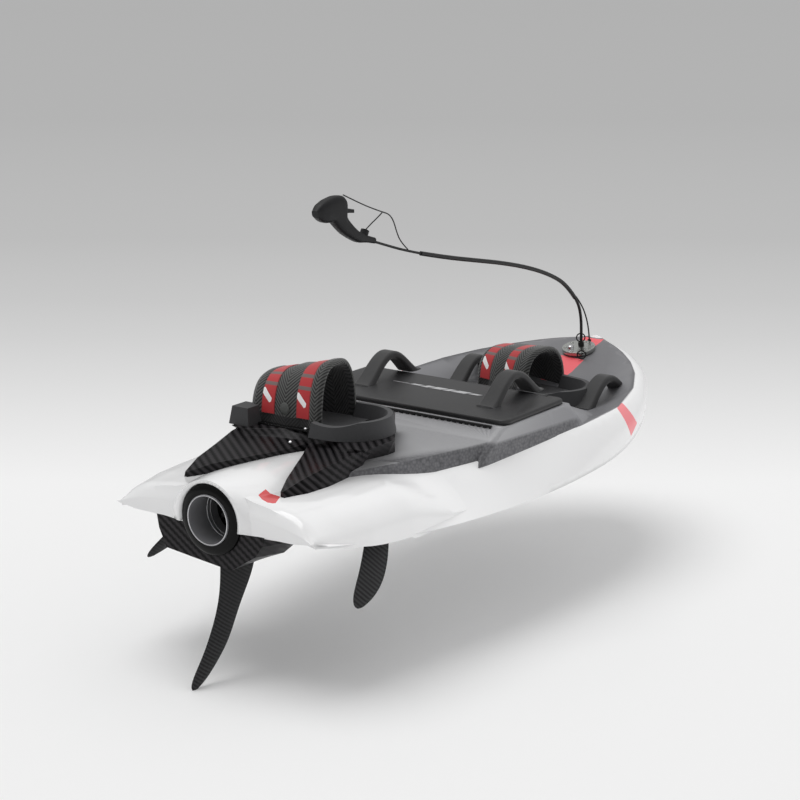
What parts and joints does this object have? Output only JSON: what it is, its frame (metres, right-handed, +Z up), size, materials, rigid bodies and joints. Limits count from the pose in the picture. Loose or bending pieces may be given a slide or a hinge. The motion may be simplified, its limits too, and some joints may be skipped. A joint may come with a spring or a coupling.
{
  "type": "electric jet surfboard",
  "caption": "Ridden board with a battery powered water jet in its tail, foot bindings, fins and a hand control on a standing tether.",
  "frame": {"origin": "centre of the waterplane at rest: on the centreline, about midway along the board, at the water level", "axes": "+X to starboard, +Y to the bow, +Z up"},
  "size_m": [0.733, 1.7204, 1.0207],
  "materials": {
    "black_matte": "matte",
    "steel": "brushed",
    "rubber_black": "matte",
    "deck_grey": "fine texture",
    "carbon": "woven carbon under clear coat",
    "black_gloss": "gloss",
    "pad_foam": "closed cell foam",
    "strap_red": "webbing",
    "strap_fabric": "woven",
    "hull_white": "gloss",
    "impeller_metal": "machined",
    "duct_metal": "dark anodised"
  },
  "bodies": {
    "board": {"bow_plate": "steel", "control_grip": "black_matte", "control_trigger": "black_matte", "cord_eye": "rubber_black", "deck_handle_port": "black_matte", "deck_handle_starboard": "black_matte", "deck_moulding": "deck_grey", "fin_centre": "carbon", "fin_port": "carbon", "fin_starboard": "carbon", "front_binding_plate": "black_gloss", "front_foot_pad": "pad_foam", "front_heel_block": "pad_foam", "front_strap_aft": "strap_red", "front_strap_fore": "strap_red", "front_strap_pad": "strap_fabric", "hull": "hull_white", "intake_grille": "black_matte", "jet_housing": "carbon", "jet_nozzle": "duct_metal", "motor": "duct_metal", "nozzle_ring": "black_gloss", "pump_stator": "duct_metal", "rear_binding_plate": "black_gloss", "rear_foot_pad": "pad_foam", "rear_heel_block": "pad_foam", "rear_strap_aft": "strap_red", "rear_strap_fore": "strap_red", "rear_strap_pad": "strap_fabric", "rear_toe_block": "pad_foam", "second_cord": "rubber_black", "stop_cord": "rubber_black", "stop_knob": "black_matte", "tail_shroud": "carbon", "tether_lower_cord": "rubber_black", "tether_post": "black_matte", "tether_sleeve": "rubber_black", "tether_upper_cord": "rubber_black", "vent_comb": "black_matte", "wrist_lanyard": "rubber_black"},
    "battery": {"battery_case": "black_matte", "battery_lid": "black_matte", "lid_seal": "rubber_black", "lid_handle_port": "black_matte", "lid_handle_starboard": "black_matte"},
    "impeller_rotor": {"impeller": "impeller_metal", "drive_shaft": "steel"}
  },
  "joints": [
    {"name": "battery_lift", "type": "slide", "parent": "board", "child": "battery", "axis": [0, 0, 1], "range_m": [0, 0.24]},
    {"name": "impeller_spin", "type": "hinge", "parent": "board", "child": "impeller_rotor", "pos_m": [0, -0.72, 0.03], "axis": [0, 1, 0], "continuous": true}
  ]
}
